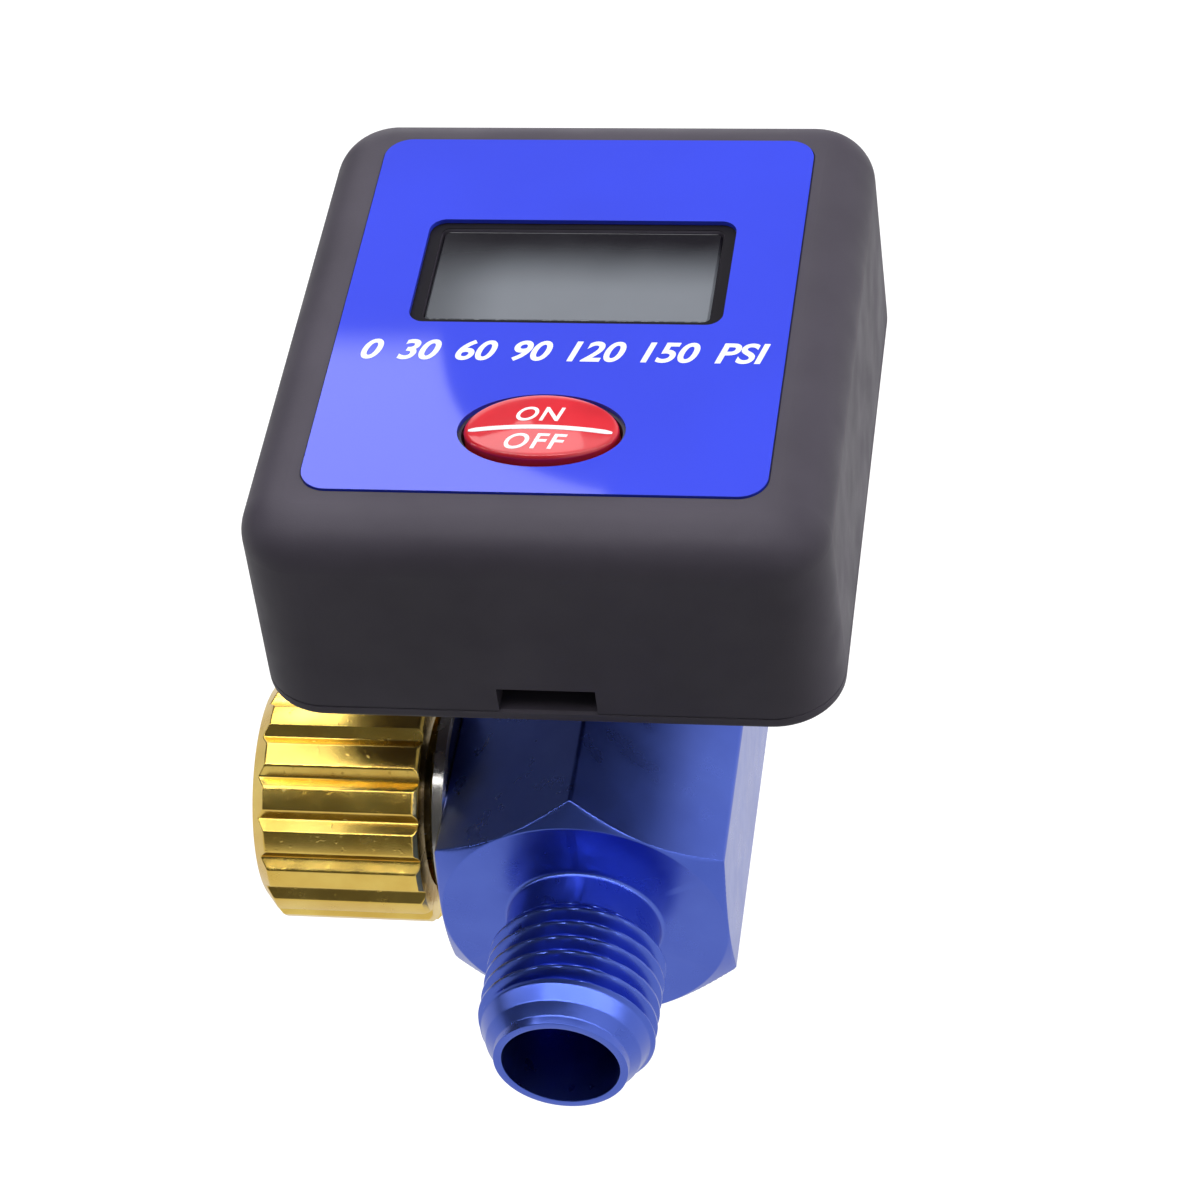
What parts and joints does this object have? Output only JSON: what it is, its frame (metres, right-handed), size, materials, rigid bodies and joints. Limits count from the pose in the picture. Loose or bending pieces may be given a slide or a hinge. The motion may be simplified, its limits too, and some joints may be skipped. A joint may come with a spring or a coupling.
{
  "type": "digital air pressure regulator",
  "caption": "Inline air regulator with hexagon body, male threaded outlet, fluted side knob and square digital gauge on top.",
  "frame": {"origin": "centre of the inlet port's mouth, on the hexagon's rear face", "axes": "+Y out of the inlet port along the air passage, with the male outlet towards -Y; +Z is the gauge face's outward normal; the knob stands towards -X"},
  "size_m": [0.0459, 0.0627, 0.0511],
  "materials": {
    "blue_anodised": "satin blue anodised aluminium",
    "nickel": "nickel plated",
    "brass": "machined",
    "gold_anodised": "polished gold colour",
    "steel": "plain",
    "seal_rubber": "black rubber",
    "ceramic": "white ceramic",
    "black_plastic": "satin moulded, fine grain",
    "blue_label": "gloss printed film",
    "display_glass": "grey display glass",
    "white_plastic": "moulded",
    "board_green": "solder mask",
    "red_plastic": "gloss red",
    "switch_black": "moulded"
  },
  "bodies": {
    "root": {"regulator_body": "blue_anodised", "bonnet": "nickel", "bonnet_o_ring": "seal_rubber", "gauge_stem": "nickel", "stem_gasket": "seal_rubber", "stem_nut": "nickel", "sensor_o_ring": "seal_rubber", "pressure_sensor": "ceramic", "sensor_retainer": "brass", "sensor_pins": "steel", "front_housing": "black_plastic", "back_cover": "black_plastic", "front_label": "blue_label", "lcd_front_glass": "display_glass", "lcd_rear_glass": "display_glass", "lcd_frame": "white_plastic", "zebra_strips": "seal_rubber", "circuit_board": "board_green", "board_screws": "steel", "controller_chip": "black_plastic", "battery": "steel", "battery_clip": "steel", "switch_body": "switch_black"},
    "button": {"power_button": "red_plastic"},
    "plunger": {"switch_plunger": "switch_black"},
    "plug": {"valve_plug": "brass", "plug_seal": "seal_rubber"},
    "knob": {"adjusting_knob": "gold_anodised", "valve_stem": "brass", "stem_o_ring": "seal_rubber", "knob_screw": "steel"}
  },
  "joints": [
    {"name": "knob_turn", "type": "hinge", "parent": "plug", "child": "knob", "pos_m": [0, -0.032, 0], "axis": [1, 0, 0], "range_deg": [-864.4, 216.4]},
    {"name": "valve_slide", "type": "slide", "parent": "root", "child": "plug", "axis": [1, 0, 0], "range_m": [-0.0024, 0.0006]},
    {"name": "button_press", "type": "slide", "parent": "root", "child": "button", "axis": [0, 0, -1], "range_m": [0, 0.0003], "stiffness_N_per_m": 1000},
    {"name": "plunger_press", "type": "slide", "parent": "root", "child": "plunger", "axis": [0, 0, -1], "range_m": [0, 0.0003]}
  ],
  "couplings": [
    {"joint": "knob_turn", "follows": "valve_slide", "rad_per_m": 6283.2},
    {"joint": "plunger_press", "follows": "button_press", "ratio": 1}
  ]
}
